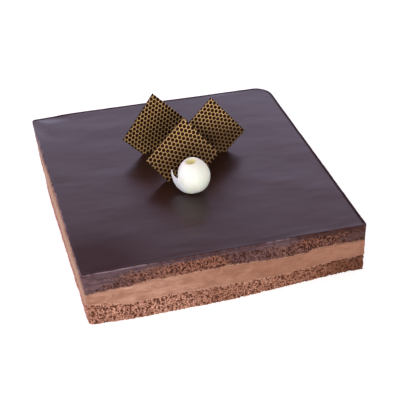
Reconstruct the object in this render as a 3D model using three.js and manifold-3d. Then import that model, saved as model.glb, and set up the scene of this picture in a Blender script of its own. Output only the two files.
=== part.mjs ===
// Opera cake: a 24 cm square cake of chocolate sponge and chocolate mousse under a dark glaze,
// with three printed chocolate squares planted in its top and a white chocolate curl in front.
// Millimetres, +Z up, the front face at -Y and the right side at +X.

import * as THREE from "three";
import { mergeVertices } from "three/addons/utils/BufferGeometryUtils.js";
import Module from "manifold-3d";

const manifold = await Module();
manifold.setup();

// ---- the cake's plan and height ----
const HALF_WIDTH = 120.5; // middle to the left or right side, halfway up
const HALF_DEPTH = 120.6; // middle to the front or back
const HEIGHT = 51.2;
const LEAN = 3.6; // the top lies this far to the left of the foot
const CORNER_RADIUS = { frontLeft: 2.5, frontRight: 2, backRight: 16, backLeft: 3 };
const STATION_STEP = 5.4; // distance between the points round the cake
const SMALL_ARC_STEPS = 2;
const LARGE_ARC_STEPS = 6;

// Where a side swells: its middle along the side, its reach, and how far at the foot and at the rim.
const SWELLS = [
  { side: "front", at: -42, reach: 78, foot: 3.9, rim: 0 },
  { side: "front", at: 122, reach: 48, foot: -2.6, rim: 0.4 },
  { side: "left", at: 40, reach: 90, foot: 0.3, rim: -0.5 },
  { side: "left", at: 116, reach: 42, foot: -2, rim: 0 },
  { side: "back", at: -50, reach: 70, foot: 0.6, rim: 0.8 },
];

// ---- the layers ----
// Mean height of the top of each layer, and its height along the front edge at FRONT_X.
const FRONT_X = [-121, -98, -86, -61, -27, 8, 46, 64, 82, 121];
const SEAMS = {
  lowerSponge: {
    mean: 17.2,
    front: [21.6, 19.8, 17.1, 18.3, 17.5, 16.3, 14.6, 15.5, 16.6, 17.8],
  },
  mousse: {
    mean: 33.2,
    front: [31.2, 32.4, 32.6, 34.4, 34.1, 34.1, 31.2, 32.0, 34.0, 33.8],
  },
  upperSponge: {
    mean: 48,
    front: [47.4, 46.4, 48.7, 49.2, 48.2, 48.4, 47.7, 47.9, 48.1, 47.9],
  },
};
const FRONT_FADE = 20; // how far behind the front face its seam heights die out
const SEAM_WAVE = 0.7; // rise and fall of the seams on the other sides

const CRAG = 0.55; // roughness of the cut sponge
const SMEAR = 0.15; // roughness of the cut mousse
const INNER_RING = 12; // how far inside the rim the flat middle of each seam starts

const GLAZE_BULGE = 0.4; // how far the glaze stands out of the sponge
const GLAZE_EDGE = 1; // radius of the glaze's top edge
const CORNER_SAG = 1.2; // the back left corner of the top is lower
const CORNER_SAG_REACH = 26;

// ---- the decorations ----
const SQUARE_THICKNESS = 1.6;
const SLOT_GAP = 0.3; // clearance round a square in the cake

// Each square stands on one corner: its sides (from the top corner to the right one and to the
// left one), its top corner, the way it faces (azimuth from the front towards the right, lean-back
// from upright), and its turn in its own plane, all in degrees.
const SQUARES = {
  left: { sides: [48.8, 49.8], top: [-19.7, 48.9, 103.1], azimuth: 17.1, leanBack: 14, turn: 47.7 },
  center: { sides: [48.4, 50], top: [-3.5, 5, 100.6], azimuth: 8.1, leanBack: 19.8, turn: 53.3 },
  right: { sides: [50.2, 48.8], top: [27.8, 24.6, 105.1], azimuth: 7.7, leanBack: 10.2, turn: 50.5 },
};

const CURL = {
  centre: [-6, -35.6, 67.7],
  radius: 14,
  halfHeight: 16.2,
  mouthRadius: 5,
  holeDepth: 13, // the roll's hollow middle narrows downwards
  holeEndRadius: 2.2,
  taper: 0.07, // share by which the upper half narrows towards the mouth
  lean: 0.04, // how far the upper half leans to the left for its height
  turn: 18, // its front looks this far to the left of the cake's front, degrees
  tilt: 9, // its axis leans this far to the left, degrees
  sides: 32,
  rings: 12,
};

// The curl's loose end, wound from the front (0 degrees) to the left (90): the latitudes of its
// lower and upper edge, and how far each stands off the ball, at each of these angles.
const FLAP = {
  angle: [6, 30, 55, 72, 80, 88, 99],
  lower: [-52, -60, -54, -42, -34, -20, 6],
  upper: [-40, -22, -6, 1, 3, 7, 18],
  lowerStandOff: [0.25, 0.9, 2.0, 3.2, 3.9, 4.8, 5.9],
  upperStandOff: [0.15, 0.15, 0.2, 0.5, 1.8, 3.8, 5.9],
  wall: 1.3,
  tipWall: 0.7,
  steps: 14,
  rows: 5,
};

const COLOURS = {
  sponge: 0x7d5244,
  mousse: 0xb5856e,
  glaze: 0x35232a,
  square: 0x3a2414,
  curl: 0xf5f1e2,
};

const DEGREE = Math.PI / 180;

// ---- small helpers ----
function lerp(a, b, t) {
  return a + (b - a) * t;
}

// A smooth curve through the values listed at the knots.
function between(knots, values, at) {
  const last = knots.length - 1;
  if (at <= knots[0]) return values[0];
  if (at >= knots[last]) return values[last];
  const i = knots.findIndex((knot) => knot > at) - 1;
  const slopeAt = (k) => {
    const [before, after] = [Math.max(k - 1, 0), Math.min(k + 1, last)];
    return (values[after] - values[before]) / (knots[after] - knots[before]);
  };
  const width = knots[i + 1] - knots[i];
  const t = (at - knots[i]) / width;
  const rest = 1 - t;
  const fromStart = values[i] * (1 + 2 * t) + slopeAt(i) * width * t;
  const fromEnd = values[i + 1] * (1 + 2 * rest) - slopeAt(i + 1) * width * rest;
  return fromStart * rest * rest + fromEnd * t * t;
}

// A repeatable random number source.
function randomSource(seed) {
  let state = seed >>> 0;
  return () => {
    state = (state + 0x6d2b79f5) >>> 0;
    let mixed = Math.imul(state ^ (state >>> 15), 1 | state);
    mixed = (mixed + Math.imul(mixed ^ (mixed >>> 7), 61 | mixed)) ^ mixed;
    return ((mixed ^ (mixed >>> 14)) >>> 0) / 2 ** 32;
  };
}

// 1 at no distance, about a third at the reach and soon nothing beyond it.
function bump(distance, reach) {
  return Math.exp(-((distance / reach) ** 4));
}

// ---- the outline ----
// Points round the plan, counterclockwise from the front left corner. Each knows its side's name,
// its place along that side and its outward direction.
function planStations() {
  const stations = [];
  const corners = [
    { key: "frontLeft", x: -1, y: -1, from: 180 },
    { key: "frontRight", x: 1, y: -1, from: 270 },
    { key: "backRight", x: 1, y: 1, from: 0 },
    { key: "backLeft", x: -1, y: 1, from: 90 },
  ];
  const sides = ["front", "right", "back", "left"];
  corners.forEach((corner, index) => {
    const radius = CORNER_RADIUS[corner.key];
    const next = corners[(index + 1) % corners.length];
    const centre = [corner.x * (HALF_WIDTH - radius), corner.y * (HALF_DEPTH - radius)];
    const steps = radius > 10 ? LARGE_ARC_STEPS : SMALL_ARC_STEPS;
    const previousSide = sides[(index + sides.length - 1) % sides.length];
    for (let i = 0; i <= steps; i++) {
      const angle = (corner.from + (90 * i) / steps) * DEGREE;
      const out = [Math.cos(angle), Math.sin(angle)];
      const x = centre[0] + radius * out[0];
      const y = centre[1] + radius * out[1];
      stations.push({ x, y, out, side: i < steps / 2 ? previousSide : sides[index] });
    }
    const start = stations[stations.length - 1];
    const endRadius = CORNER_RADIUS[next.key];
    const end = [next.x * HALF_WIDTH, next.y * HALF_DEPTH];
    end[index % 2] -= next[index % 2 ? "y" : "x"] * endRadius;
    const length = Math.hypot(end[0] - start.x, end[1] - start.y);
    const count = Math.round(length / STATION_STEP);
    for (let i = 1; i < count; i++) {
      const x = lerp(start.x, end[0], i / count);
      const y = lerp(start.y, end[1], i / count);
      stations.push({ x, y, out: start.out, side: sides[index] });
    }
  });
  return stations;
}

// How far a station swells out of the plain plan at a height.
function swellAt(station, z) {
  const along = station.side === "front" || station.side === "back" ? station.x : station.y;
  return SWELLS.filter((swell) => swell.side === station.side).reduce(
    (sum, swell) =>
      sum + lerp(swell.foot, swell.rim, z / HEIGHT) * bump(along - swell.at, swell.reach),
    0,
  );
}

// A point on the side of the cake at a station and height, moved outwards by offset.
function wallPoint(station, z, offset) {
  const out = offset + swellAt(station, z);
  const lean = LEAN * (0.5 - z / HEIGHT);
  return [station.x + station.out[0] * out + lean, station.y + station.out[1] * out, z];
}

// ---- the seams ----
function seamHeight(seam, x, y) {
  const frontShare = Math.exp(-(y + HALF_DEPTH) / FRONT_FADE);
  const wave = Math.sin(x / 23 + seam.mean) + Math.sin(y / 17 + 2 * seam.mean);
  const plain = seam.mean + (SEAM_WAVE / 2) * wave;
  return lerp(plain, between(FRONT_X, seam.front, x), Math.min(frontShare, 1));
}

function topHeight(x, y) {
  const fromCorner = Math.hypot(x + HALF_WIDTH, y - HALF_DEPTH);
  return HEIGHT - CORNER_SAG * bump(fromCorner, CORNER_SAG_REACH);
}

// ---- solids from rings of points ----
// A stack of rings, closed by a fan at each end, as one solid. The first row is split along the
// other diagonal, so that a layer's underside has the same faces as the top of the layer below.
function solidOfRings(rings) {
  const count = rings[0].length;
  const points = rings.flat();
  const triangles = [];
  for (let row = 0; row + 1 < rings.length; row++) {
    for (let i = 0; i < count; i++) {
      const j = (i + 1) % count;
      const [a, b] = [row * count + i, row * count + j];
      const [c, d] = [a + count, b + count];
      if (row === 0) triangles.push([a, b, c], [b, d, c]);
      else triangles.push([a, b, d], [a, d, c]);
    }
  }
  const middleOf = (ring) => [0, 1, 2].map((k) => ring.reduce((sum, p) => sum + p[k], 0) / count);
  const bottom = points.push(middleOf(rings[0])) - 1;
  const top = points.push(middleOf(rings[rings.length - 1])) - 1;
  const lastRow = (rings.length - 1) * count;
  for (let i = 0; i < count; i++) {
    const j = (i + 1) % count;
    triangles.push([bottom, j, i], [top, lastRow + i, lastRow + j]);
  }
  return solidOf(points.flat(), triangles.flat());
}

function solidOf(coordinates, triangles) {
  const mesh = new manifold.Mesh({
    numProp: 3,
    vertProperties: new Float32Array(coordinates),
    triVerts: new Uint32Array(triangles),
  });
  return new manifold.Manifold(mesh);
}

function solidOfGeometry(geometry) {
  const bare = new THREE.BufferGeometry();
  bare.setAttribute("position", geometry.getAttribute("position"));
  bare.setIndex(geometry.index);
  const merged = mergeVertices(bare, 1e-4);
  const corners = [];
  for (let i = 0; i < merged.index.count; i += 3) {
    const triangle = [0, 1, 2].map((k) => merged.index.getX(i + k));
    if (new Set(triangle).size === 3) corners.push(...triangle);
  }
  return solidOf(merged.getAttribute("position").array, corners);
}

function geometryOf(solid) {
  const { numProp, numVert, vertProperties, triVerts } = solid.getMesh();
  const positions = new Float32Array(numVert * 3);
  for (let i = 0; i < numVert; i++) {
    positions.set(vertProperties.subarray(i * numProp, i * numProp + 3), i * 3);
  }
  const geometry = new THREE.BufferGeometry();
  geometry.setAttribute("position", new THREE.BufferAttribute(positions, 3));
  geometry.setIndex(new THREE.BufferAttribute(new Uint32Array(triVerts), 1));
  const faceted = geometry.toNonIndexed();
  faceted.computeVertexNormals();
  return faceted;
}

// ---- the layers' solids ----
// The rings that two neighbouring layers share along their seam: the flat middle's rim, then the
// edge at the side of the cake.
function seamRings(stations, seam) {
  const edge = stations.map((station) =>
    wallPoint(station, seamHeight(seam, station.x, station.y), 0),
  );
  const inner = edge.map(([x, y]) => {
    const shrink = 1 - INNER_RING / HALF_WIDTH;
    return [x * shrink, y * shrink, seam.mean];
  });
  return { inner, edge };
}

function footRings(stations) {
  const edge = stations.map((station) => wallPoint(station, 0, 0));
  return { edge };
}

// The rows of the wall between a layer's two edges, each point moved by a random roughness.
function wallRows(stations, low, high, rows, roughness, random) {
  return Array.from({ length: rows }, (_, row) => {
    const share = (row + 1) / (rows + 1);
    return stations.map((station, i) => {
      const z = lerp(low.edge[i][2], high.edge[i][2], share);
      return wallPoint(station, z, roughness * (2 * random() - 1));
    });
  });
}

function layer(stations, low, high, rows, roughness, seed) {
  const wall = wallRows(stations, low, high, rows, roughness, randomSource(seed));
  const start = low.inner ? [low.inner, low.edge] : [low.edge];
  return solidOfRings([...start, ...wall, high.edge, high.inner]);
}

function glaze(stations, low) {
  const topAt = (station) => topHeight(station.x, station.y);
  const middle = stations.map((station, i) =>
    wallPoint(station, lerp(low.edge[i][2], topAt(station), 0.5), GLAZE_BULGE),
  );
  const shoulder = stations.map((station) =>
    wallPoint(station, topAt(station) - 0.8 * GLAZE_EDGE, GLAZE_BULGE - 0.15 * GLAZE_EDGE),
  );
  const bevel = stations.map((station) =>
    wallPoint(station, topAt(station) - 0.25 * GLAZE_EDGE, GLAZE_BULGE - 0.5 * GLAZE_EDGE),
  );
  const rim = stations.map((station) =>
    wallPoint(station, topAt(station), GLAZE_BULGE - 1.3 * GLAZE_EDGE),
  );
  const inner = rim.map(([x, y]) => {
    const shrink = 1 - INNER_RING / HALF_WIDTH;
    return [x * shrink, y * shrink, HEIGHT];
  });
  return solidOfRings([low.inner, low.edge, middle, shoulder, bevel, rim, inner]);
}

// ---- the chocolate squares ----
// A square plate whose top corner is at the origin of its own frame and whose front face is at
// zero, turned and placed by its matrix.
function squareGeometry({ sides: [across, down] }, gap) {
  const size = [across, down, SQUARE_THICKNESS].map((length) => length + 2 * gap);
  return new THREE.BoxGeometry(...size).translate(across / 2, -down / 2, -SQUARE_THICKNESS / 2);
}

function squareMatrix({ top, azimuth, leanBack, turn }) {
  const inPlane = new THREE.Matrix4().makeRotationZ(-turn * DEGREE);
  const upright = new THREE.Matrix4().makeRotationX((90 - leanBack) * DEGREE);
  const facing = new THREE.Matrix4().makeRotationZ(azimuth * DEGREE);
  const place = new THREE.Matrix4().makeTranslation(...top);
  return place.multiply(facing).multiply(upright).multiply(inPlane);
}

function slotOf(square) {
  return solidOfGeometry(squareGeometry(square, SLOT_GAP).applyMatrix4(squareMatrix(square)));
}

// ---- the white chocolate curl ----
// The ball: an egg-shaped roll with a hole down its middle.
function curlBall() {
  const { radius, halfHeight, mouthRadius, holeDepth, holeEndRadius, sides, rings } = CURL;
  const { taper, lean } = CURL;
  const end = Math.acos(mouthRadius / radius);
  const profile = Array.from({ length: rings + 1 }, (_, i) => {
    const latitude = lerp(-Math.PI / 2, end, i / rings);
    const narrowed = radius * (1 - taper * Math.max(Math.sin(latitude), 0));
    const r = i === 0 ? 0 : narrowed * Math.cos(latitude);
    return new THREE.Vector2(r, halfHeight * Math.sin(latitude));
  });
  const holeEnd = halfHeight * Math.sin(end) - holeDepth;
  profile.push(new THREE.Vector2(holeEndRadius, holeEnd), new THREE.Vector2(0, holeEnd));
  const ball = new THREE.LatheGeometry(profile, sides).rotateX(90 * DEGREE);
  const position = ball.getAttribute("position");
  for (let i = 0; i < position.count; i++) {
    position.setX(i, position.getX(i) - lean * Math.max(position.getZ(i), 0));
  }
  return solidOfGeometry(ball);
}

function flapPoint(angle, latitude, standOff) {
  const across = (CURL.radius + standOff) * Math.cos(latitude);
  const up = (CURL.halfHeight + standOff) * Math.sin(latitude);
  return [-across * Math.sin(angle), -across * Math.cos(angle), up];
}

// The loose end: a strip that peels off the ball to the left and narrows to a point.
function curlFlap() {
  const first = FLAP.angle[0];
  const last = FLAP.angle[FLAP.angle.length - 1];
  const rings = [];
  for (let step = 0; step <= FLAP.steps; step++) {
    const degrees = lerp(first, last, step / FLAP.steps);
    const wall = lerp(FLAP.wall, FLAP.tipWall, step / FLAP.steps);
    const at = (values) => between(FLAP.angle, values, degrees);
    const edge = (inwards) =>
      Array.from({ length: FLAP.rows + 1 }, (_, row) => {
        const share = row / FLAP.rows;
        const latitude = lerp(at(FLAP.lower), at(FLAP.upper), share) * DEGREE;
        const standOff = lerp(at(FLAP.lowerStandOff), at(FLAP.upperStandOff), share);
        return flapPoint(degrees * DEGREE, latitude, standOff - inwards);
      });
    rings.push([...edge(0), ...edge(wall).reverse()]);
  }
  return solidOfRings(rings);
}

function curlMatrix() {
  const turn = new THREE.Matrix4().makeRotationZ(-CURL.turn * DEGREE);
  const tilt = new THREE.Matrix4().makeRotationY(-CURL.tilt * DEGREE);
  return new THREE.Matrix4()
    .makeTranslation(...CURL.centre)
    .multiply(turn)
    .multiply(tilt);
}

// ---- the object ----
function meshOf(name, solid, colour, roughness) {
  const material = new THREE.MeshStandardMaterial({ color: colour, roughness, metalness: 0 });
  const mesh = new THREE.Mesh(geometryOf(solid), material);
  mesh.name = name;
  return mesh;
}

function buildCake() {
  const stations = planStations();
  const foot = footRings(stations);
  const lowerSeam = seamRings(stations, SEAMS.lowerSponge);
  const mousseSeam = seamRings(stations, SEAMS.mousse);
  const upperSeam = seamRings(stations, SEAMS.upperSponge);
  const slots = Object.values(SQUARES).map(slotOf);
  const slotted = (solid) => slots.reduce((rest, slot) => rest.subtract(slot), solid);

  const lowerSponge = layer(stations, foot, lowerSeam, 4, CRAG, 11);
  const mousse = layer(stations, lowerSeam, mousseSeam, 3, SMEAR, 23);
  const upperSponge = layer(stations, mousseSeam, upperSeam, 4, CRAG, 37);

  const cake = new THREE.Group();
  cake.add(meshOf("lower_sponge", lowerSponge, COLOURS.sponge, 0.95));
  cake.add(meshOf("mousse", mousse, COLOURS.mousse, 0.6));
  cake.add(meshOf("upper_sponge", slotted(upperSponge), COLOURS.sponge, 0.95));
  cake.add(meshOf("glaze", slotted(glaze(stations, upperSeam)), COLOURS.glaze, 0.15));
  return cake;
}

function buildSquare(name, square) {
  const mesh = meshOf(name, solidOfGeometry(squareGeometry(square, 0)), COLOURS.square, 0.4);
  mesh.applyMatrix4(squareMatrix(square));
  return mesh;
}

function buildCurl() {
  const mesh = meshOf("white_curl", curlBall().add(curlFlap()), COLOURS.curl, 0.45);
  mesh.applyMatrix4(curlMatrix());
  return mesh;
}

// Moves the group so that the middle of its foot is the origin.
function centreOnFoot(group) {
  const box = new THREE.Box3().setFromObject(group, true);
  const middle = box.getCenter(new THREE.Vector3());
  group.position.set(-middle.x, -middle.y, -box.min.z);
}

const operaCake = new THREE.Group();
operaCake.add(buildCake());
for (const [place, square] of Object.entries(SQUARES)) {
  operaCake.add(buildSquare(`chocolate_square_${place}`, square));
}
operaCake.add(buildCurl());
centreOnFoot(operaCake);

export default operaCake;
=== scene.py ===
"""An opera cake: sponge and mousse under a dark glaze, printed chocolate squares and a white curl.

Sizes are in millimetres in the cake's own frame, and placed() turns them into metres in the frame
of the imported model. Angles are in degrees. Colours are linear shares of red, green and blue.
"""

import math

import bpy
import numpy as np
from mathutils import Matrix, Vector


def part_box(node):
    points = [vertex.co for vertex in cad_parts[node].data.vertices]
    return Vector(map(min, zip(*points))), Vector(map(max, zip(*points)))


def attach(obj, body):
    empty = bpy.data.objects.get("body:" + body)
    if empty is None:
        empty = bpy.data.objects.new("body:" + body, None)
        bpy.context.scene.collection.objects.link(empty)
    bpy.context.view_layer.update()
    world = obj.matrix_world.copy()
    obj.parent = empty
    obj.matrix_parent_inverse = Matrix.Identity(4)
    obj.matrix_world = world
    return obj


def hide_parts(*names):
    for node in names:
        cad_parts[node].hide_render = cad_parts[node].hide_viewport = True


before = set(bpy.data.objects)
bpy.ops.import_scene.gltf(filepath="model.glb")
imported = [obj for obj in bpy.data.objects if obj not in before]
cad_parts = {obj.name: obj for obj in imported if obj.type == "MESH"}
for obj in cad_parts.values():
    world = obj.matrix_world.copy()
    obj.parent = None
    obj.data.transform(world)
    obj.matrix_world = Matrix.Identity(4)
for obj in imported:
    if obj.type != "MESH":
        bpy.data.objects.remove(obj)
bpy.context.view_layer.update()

MM = 0.001

# ---- the cake's plan and height ----
HALF_WIDTH = 120.5
HALF_DEPTH = 120.6
HEIGHT = 51.2
LEAN = 3.6  # the top lies this far to the left of the foot
STATION_STEP = 0.44  # between the points round the layers' walls
INNER_RING = 12  # a layer's flat middle begins this far inside its wall
CORNER_SAG = 1.2  # the top sags towards the back left corner
CORNER_SAG_REACH = 26
SIDE_NORMALS = {"front": (0, -1), "right": (1, 0), "back": (0, 1), "left": (-1, 0)}
# Corners counterclockwise from the front left: signs of x and y, first angle of the arc, radius.
CORNERS = ((-1, -1, 180, 2.5), (1, -1, 270, 2), (1, 1, 0, 16), (-1, 1, 90, 3))
# Where a side swells: its middle along the side, its reach, and how far at the foot and the rim.
SWELLS = (
    ("front", -42, 78, 3.9, 0),
    ("front", 122, 48, -2.6, 0.4),
    ("left", 40, 90, 0.3, -0.5),
    ("left", 116, 42, -2, 0),
    ("back", -50, 70, 0.6, 0.8),
)

# ---- the seams ----
FRONT_X = (-121, -98, -86, -61, -27, 8, 46, 64, 82, 121)
# The top of each layer: its mean height, its heights along the front edge, its roughness, its seed.
SEAMS = {
    "lower_sponge": (17.2, (21.6, 19.8, 17.1, 18.3, 17.5, 16.3, 14.6, 15.5, 16.6, 17.8), 0.45, 101),
    "mousse": (33.2, (31.2, 32.4, 32.6, 34.4, 34.1, 34.1, 31.2, 32.0, 34.0, 33.8), 0.3, 111),
    "upper_sponge": (48, (47.4, 46.4, 48.7, 49.2, 48.2, 48.4, 47.7, 47.9, 48.1, 47.9), 0.25, 121),
}
FRONT_FADE = 20  # the heights along the front fade out this far behind it
SEAM_WAVE = 0.7
SEAM_GRAIN = 4.1
SEAM_FINE_GRAIN = 1.3

# ---- the decorations ----
SQUARE_THICKNESS = 1.6
# Each square: its sides from the top corner to the right and to the left one, its top corner, its
# azimuth, lean-back and turn, whether its rows of dots run down its left edge, where its first
# dot lies (in dot spacings along and across the rows), and how much painted shade darkens its print low
# down.
SQUARES = {
    "left": ((48.8, 49.8), (-19.7, 48.9, 103.1), 17.1, 14, 47.7, False, (0.44, 1.26), 0.1),
    "center": ((48.4, 50), (-3.5, 5, 100.6), 8.1, 19.8, 53.3, True, (0.26, 1.46), 0.8),
    "right": ((50.2, 48.8), (27.8, 24.6, 105.1), 7.7, 10.2, 50.5, True, (0.92, 0.68), 1.4),
}
DOT_PITCH = 3.96
DOT_RADIUS = 0.43  # in dot spacings

CURL_CENTRE = (-6, -35.6, 67.7)
CURL_RADIUS = 14
CURL_HALF_HEIGHT = 16.2
CURL_MOUTH = 5.9
MOUTH_LATITUDE = math.acos(CURL_MOUTH / CURL_RADIUS)
MOUTH_HEIGHT = CURL_HALF_HEIGHT * math.sin(MOUTH_LATITUDE)
HOLE_DEPTH = 13  # the roll's hollow middle narrows downwards
HOLE_END = 2.2
HOLE_LEDGE = 1.3  # how far the rolled edge steps into the hole
CURL_TURN = 18
CURL_TILT = 9
CURL_TAPER = 0.07  # the roll's upper half narrows towards the mouth
CURL_LEAN = 0.04  # how far its upper half leans to the left for its height
# The loose end, wound from the front (0) to the left (90): latitudes of its lower and upper edge,
# and how far each stands off the roll.
FLAP_ANGLE = (6, 30, 55, 72, 80, 88, 99)
FLAP_LOWER = (-52, -60, -54, -42, -34, -20, 6)
FLAP_UPPER = (-40, -22, -6, 1, 3, 7, 18)
FLAP_LOWER_OFF = (0.25, 0.9, 2.0, 3.2, 3.9, 4.8, 5.9)
FLAP_UPPER_OFF = (0.15, 0.15, 0.2, 0.5, 1.8, 3.8, 5.9)
FLAP_WALL = 1.3
FLAP_TIP_WALL = 0.7

# ---- the camera, in the cake's frame ----
CAMERA_EYE = (-207.504, -683.792, 534.356)
CAMERA_RIGHT = (0.95598, -0.29293, 0.01688)
CAMERA_DOWN = (-0.15914, -0.56598, -0.80892)
CAMERA_FORWARD = (0.24651, 0.77063, -0.58768)
CAMERA_FOCAL = 960.87  # in pixels of a picture 400 pixels wide
PICTURE_WIDTH = 400
SENSOR = 36


# ---- numbers ----
def between(knots, values, at):
    """A smooth curve through the values listed at the knots."""
    knots = np.asarray(knots, float)
    values = np.asarray(values, float)
    at = np.clip(at, knots[0], knots[-1])
    i = np.clip(np.searchsorted(knots, at, side="right") - 1, 0, len(knots) - 2)
    slope = np.gradient(values) / np.gradient(knots)
    width = knots[i + 1] - knots[i]
    t = (at - knots[i]) / width
    rest = 1 - t
    from_start = values[i] * (1 + 2 * t) + slope[i] * width * t
    from_end = values[i + 1] * (1 + 2 * rest) - slope[i + 1] * width * rest
    return from_start * rest**2 + from_end * t**2


def bump(distance, reach):
    """1 at no distance, about a third at the reach and soon nothing beyond it."""
    return np.exp(-((distance / reach) ** 4))


def smoothstep(low, high, value):
    """0 up to low and 1 from high on, with a smooth step between them."""
    t = np.clip((value - low) / (high - low), 0, 1)
    return t * t * (3 - 2 * t)


NOISE_TABLE = 257


def noise(x, y, seed, around=0):
    """Smooth noise from -1 to 1 with a grain of one unit; around closes it after that many units."""
    table = np.random.default_rng(seed).uniform(-1, 1, (NOISE_TABLE, NOISE_TABLE))
    ix = np.floor(x).astype(int)
    iy = np.floor(y).astype(int)
    fx = smoothstep(0, 1, x - ix)
    fy = smoothstep(0, 1, y - iy)

    def value(i, j):
        i = i % around if around else i
        return table[i % NOISE_TABLE, (j + 31 * (i // NOISE_TABLE)) % NOISE_TABLE]

    low = value(ix, iy) * (1 - fx) + value(ix + 1, iy) * fx
    high = value(ix, iy + 1) * (1 - fx) + value(ix + 1, iy + 1) * fx
    return low * (1 - fy) + high * fy


# ---- the shared frame ----
def square_matrix(top, azimuth, lean_back, turn):
    """From a square's own frame, its top corner at the origin, to the cake's."""
    matrix = Matrix.Translation(top)
    matrix @= Matrix.Rotation(math.radians(azimuth), 4, "Z")
    matrix @= Matrix.Rotation(math.radians(90 - lean_back), 4, "X")
    matrix @= Matrix.Rotation(math.radians(-turn), 4, "Z")
    return matrix


def measured_shift():
    """How far the cake's frame moved to put the middle of its foot at the origin."""
    (width, length), *place = SQUARES["center"][:5]
    matrix = square_matrix(*place)
    corners = [matrix @ Vector((x, -y, -z))
               for x in (0, width) for y in (0, length) for z in (0, SQUARE_THICKNESS)]
    there = np.array(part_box("chocolate_square_center")[0]) / MM
    return there - np.min(corners, axis=0)


SHIFT = measured_shift()


def placed(points):
    """Points of the cake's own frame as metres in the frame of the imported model."""
    return (np.asarray(points) + SHIFT) * MM


def turned(points, matrix):
    """Points moved and turned by a matrix."""
    return points @ np.array(matrix.to_3x3()).T + np.array(matrix.translation)


# ---- the cake's outline ----
def plan_stations(step):
    """Points round the plan with their outward directions and their way along the outline."""
    points = []
    outs = []
    for index, (sign_x, sign_y, start, radius) in enumerate(CORNERS):
        centre = ((HALF_WIDTH - radius) * sign_x, (HALF_DEPTH - radius) * sign_y)
        steps = max(4, round(radius * math.pi / 2 / step))
        for angle in np.radians(np.linspace(start, start + 90, steps + 1)):
            outs.append((math.cos(angle), math.sin(angle)))
            points.append([c + radius * o for c, o in zip(centre, outs[-1])])
        # The straight side from this corner ends where the next corner's arc begins.
        next_x, next_y, _, next_radius = CORNERS[(index + 1) % len(CORNERS)]
        end = [next_x * HALF_WIDTH, next_y * HALF_DEPTH]
        end[index % 2] -= (next_y if index % 2 else next_x) * next_radius
        steps = round(math.dist(points[-1], end) / step)
        straight = np.linspace(points[-1], end, steps + 1)[1:-1]
        points.extend(straight.tolist())
        outs.extend([outs[-1]] * len(straight))
    points = np.array(points)
    lengths = np.linalg.norm(np.roll(points, -1, axis=0) - points, axis=1)
    along = np.concatenate([[0], np.cumsum(lengths)[:-1]])
    return {"points": points, "outs": np.array(outs), "along": along, "round": lengths.sum()}


def front_share(stations):
    """1 on the front of the cake, fading round its corners."""
    return np.clip(1 - (stations["points"][:, 1] + HALF_DEPTH) / 3, 0, 1)


def left_share(stations):
    """1 on the left side of the cake, fading round its corners."""
    return np.clip(-stations["outs"][:, 0], 0, 1) ** 2


def warped_x(stations, warp):
    """Where each station lies along the front, moved by warp but kept on it."""
    return np.clip(stations["points"][:, 0] + warp, FRONT_X[0], FRONT_X[-1])


def swell(stations, z):
    """How far the wall swells out of the plain plan at the heights z (rows by stations)."""
    x, y = stations["points"].T
    moved = np.zeros(z.shape + (2,))
    for side, middle, reach, foot, rim in SWELLS:
        normal = np.array(SIDE_NORMALS[side], float)
        share = np.clip(stations["outs"] @ normal, 0, 1)
        along = x if side in ("front", "back") else y
        amount = (foot + (rim - foot) * z / HEIGHT) * share * bump(along - middle, reach)
        moved += amount[..., None] * normal
    return moved


def wall_points(stations, z, offset):
    """Points on the wall at the heights z, moved outwards by offset (both rows by stations)."""
    place = stations["points"] + swell(stations, z) + stations["outs"] * offset[..., None]
    lean = LEAN * (0.5 - z / HEIGHT)
    return np.stack([place[..., 0] + lean, place[..., 1], z], axis=-1)


def seam_height(stations, layer):
    """The height of a layer's top at each station."""
    mean, front, roughness, seed = SEAMS[layer]
    x, y = stations["points"].T
    along = stations["along"]
    near_front = np.minimum(np.exp(-(y + HALF_DEPTH) / FRONT_FADE), 1)
    plain = mean + SEAM_WAVE / 2 * (np.sin(x / 23 + mean) + np.sin(y / 17 + 2 * mean))
    smooth = plain + (between(FRONT_X, front, x) - plain) * near_front

    def ripple(grain, number):
        return noise(along / grain, 0 * along, number, round(stations["round"] / grain))

    return smooth + roughness * (0.7 * ripple(SEAM_GRAIN, seed) + 0.5 * ripple(SEAM_FINE_GRAIN, seed + 1))


def around_noise(stations, z, along_grain, z_grain, seed):
    """Smooth noise on the wall that closes round the cake."""
    along = np.broadcast_to(stations["along"], z.shape)
    count = round(stations["round"] / along_grain)
    return noise(along / stations["round"] * count, z / z_grain, seed, count)


def ring_noise(stations, grain, seed):
    """Smooth noise along the outline, the same at every height."""
    return around_noise(stations, 0 * stations["along"], grain, 1, seed)


def layered_noise(stations, z, layers, seed):
    """The sum of noises on the wall: amount, grain along and up and number of the seed of each."""
    return sum(amount * around_noise(stations, z, along_grain, z_grain, seed + number)
               for amount, along_grain, z_grain, number in layers)


# ---- meshes ----
def write_values(mesh, values):
    """Named values on the points of a mesh, for its material to read."""
    for key, value in values.items():
        layer = mesh.attributes.new(key, "FLOAT", "POINT")
        layer.data.foreach_set("value", np.asarray(value, np.float32))


def shade_smooth(mesh):
    mesh.polygons.foreach_set("use_smooth", np.ones(len(mesh.polygons), bool))


def new_object(name, data):
    obj = bpy.data.objects.new(name, data)
    bpy.context.scene.collection.objects.link(obj)
    return obj


def mesh_object(name, points, faces, material, values):
    """A smooth shaded object with named values on its points."""
    mesh = bpy.data.meshes.new(name)
    mesh.from_pydata(points, [], faces)
    shade_smooth(mesh)
    write_values(mesh, values)
    mesh.materials.append(material)
    mesh.update()
    return new_object(name, mesh)


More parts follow.
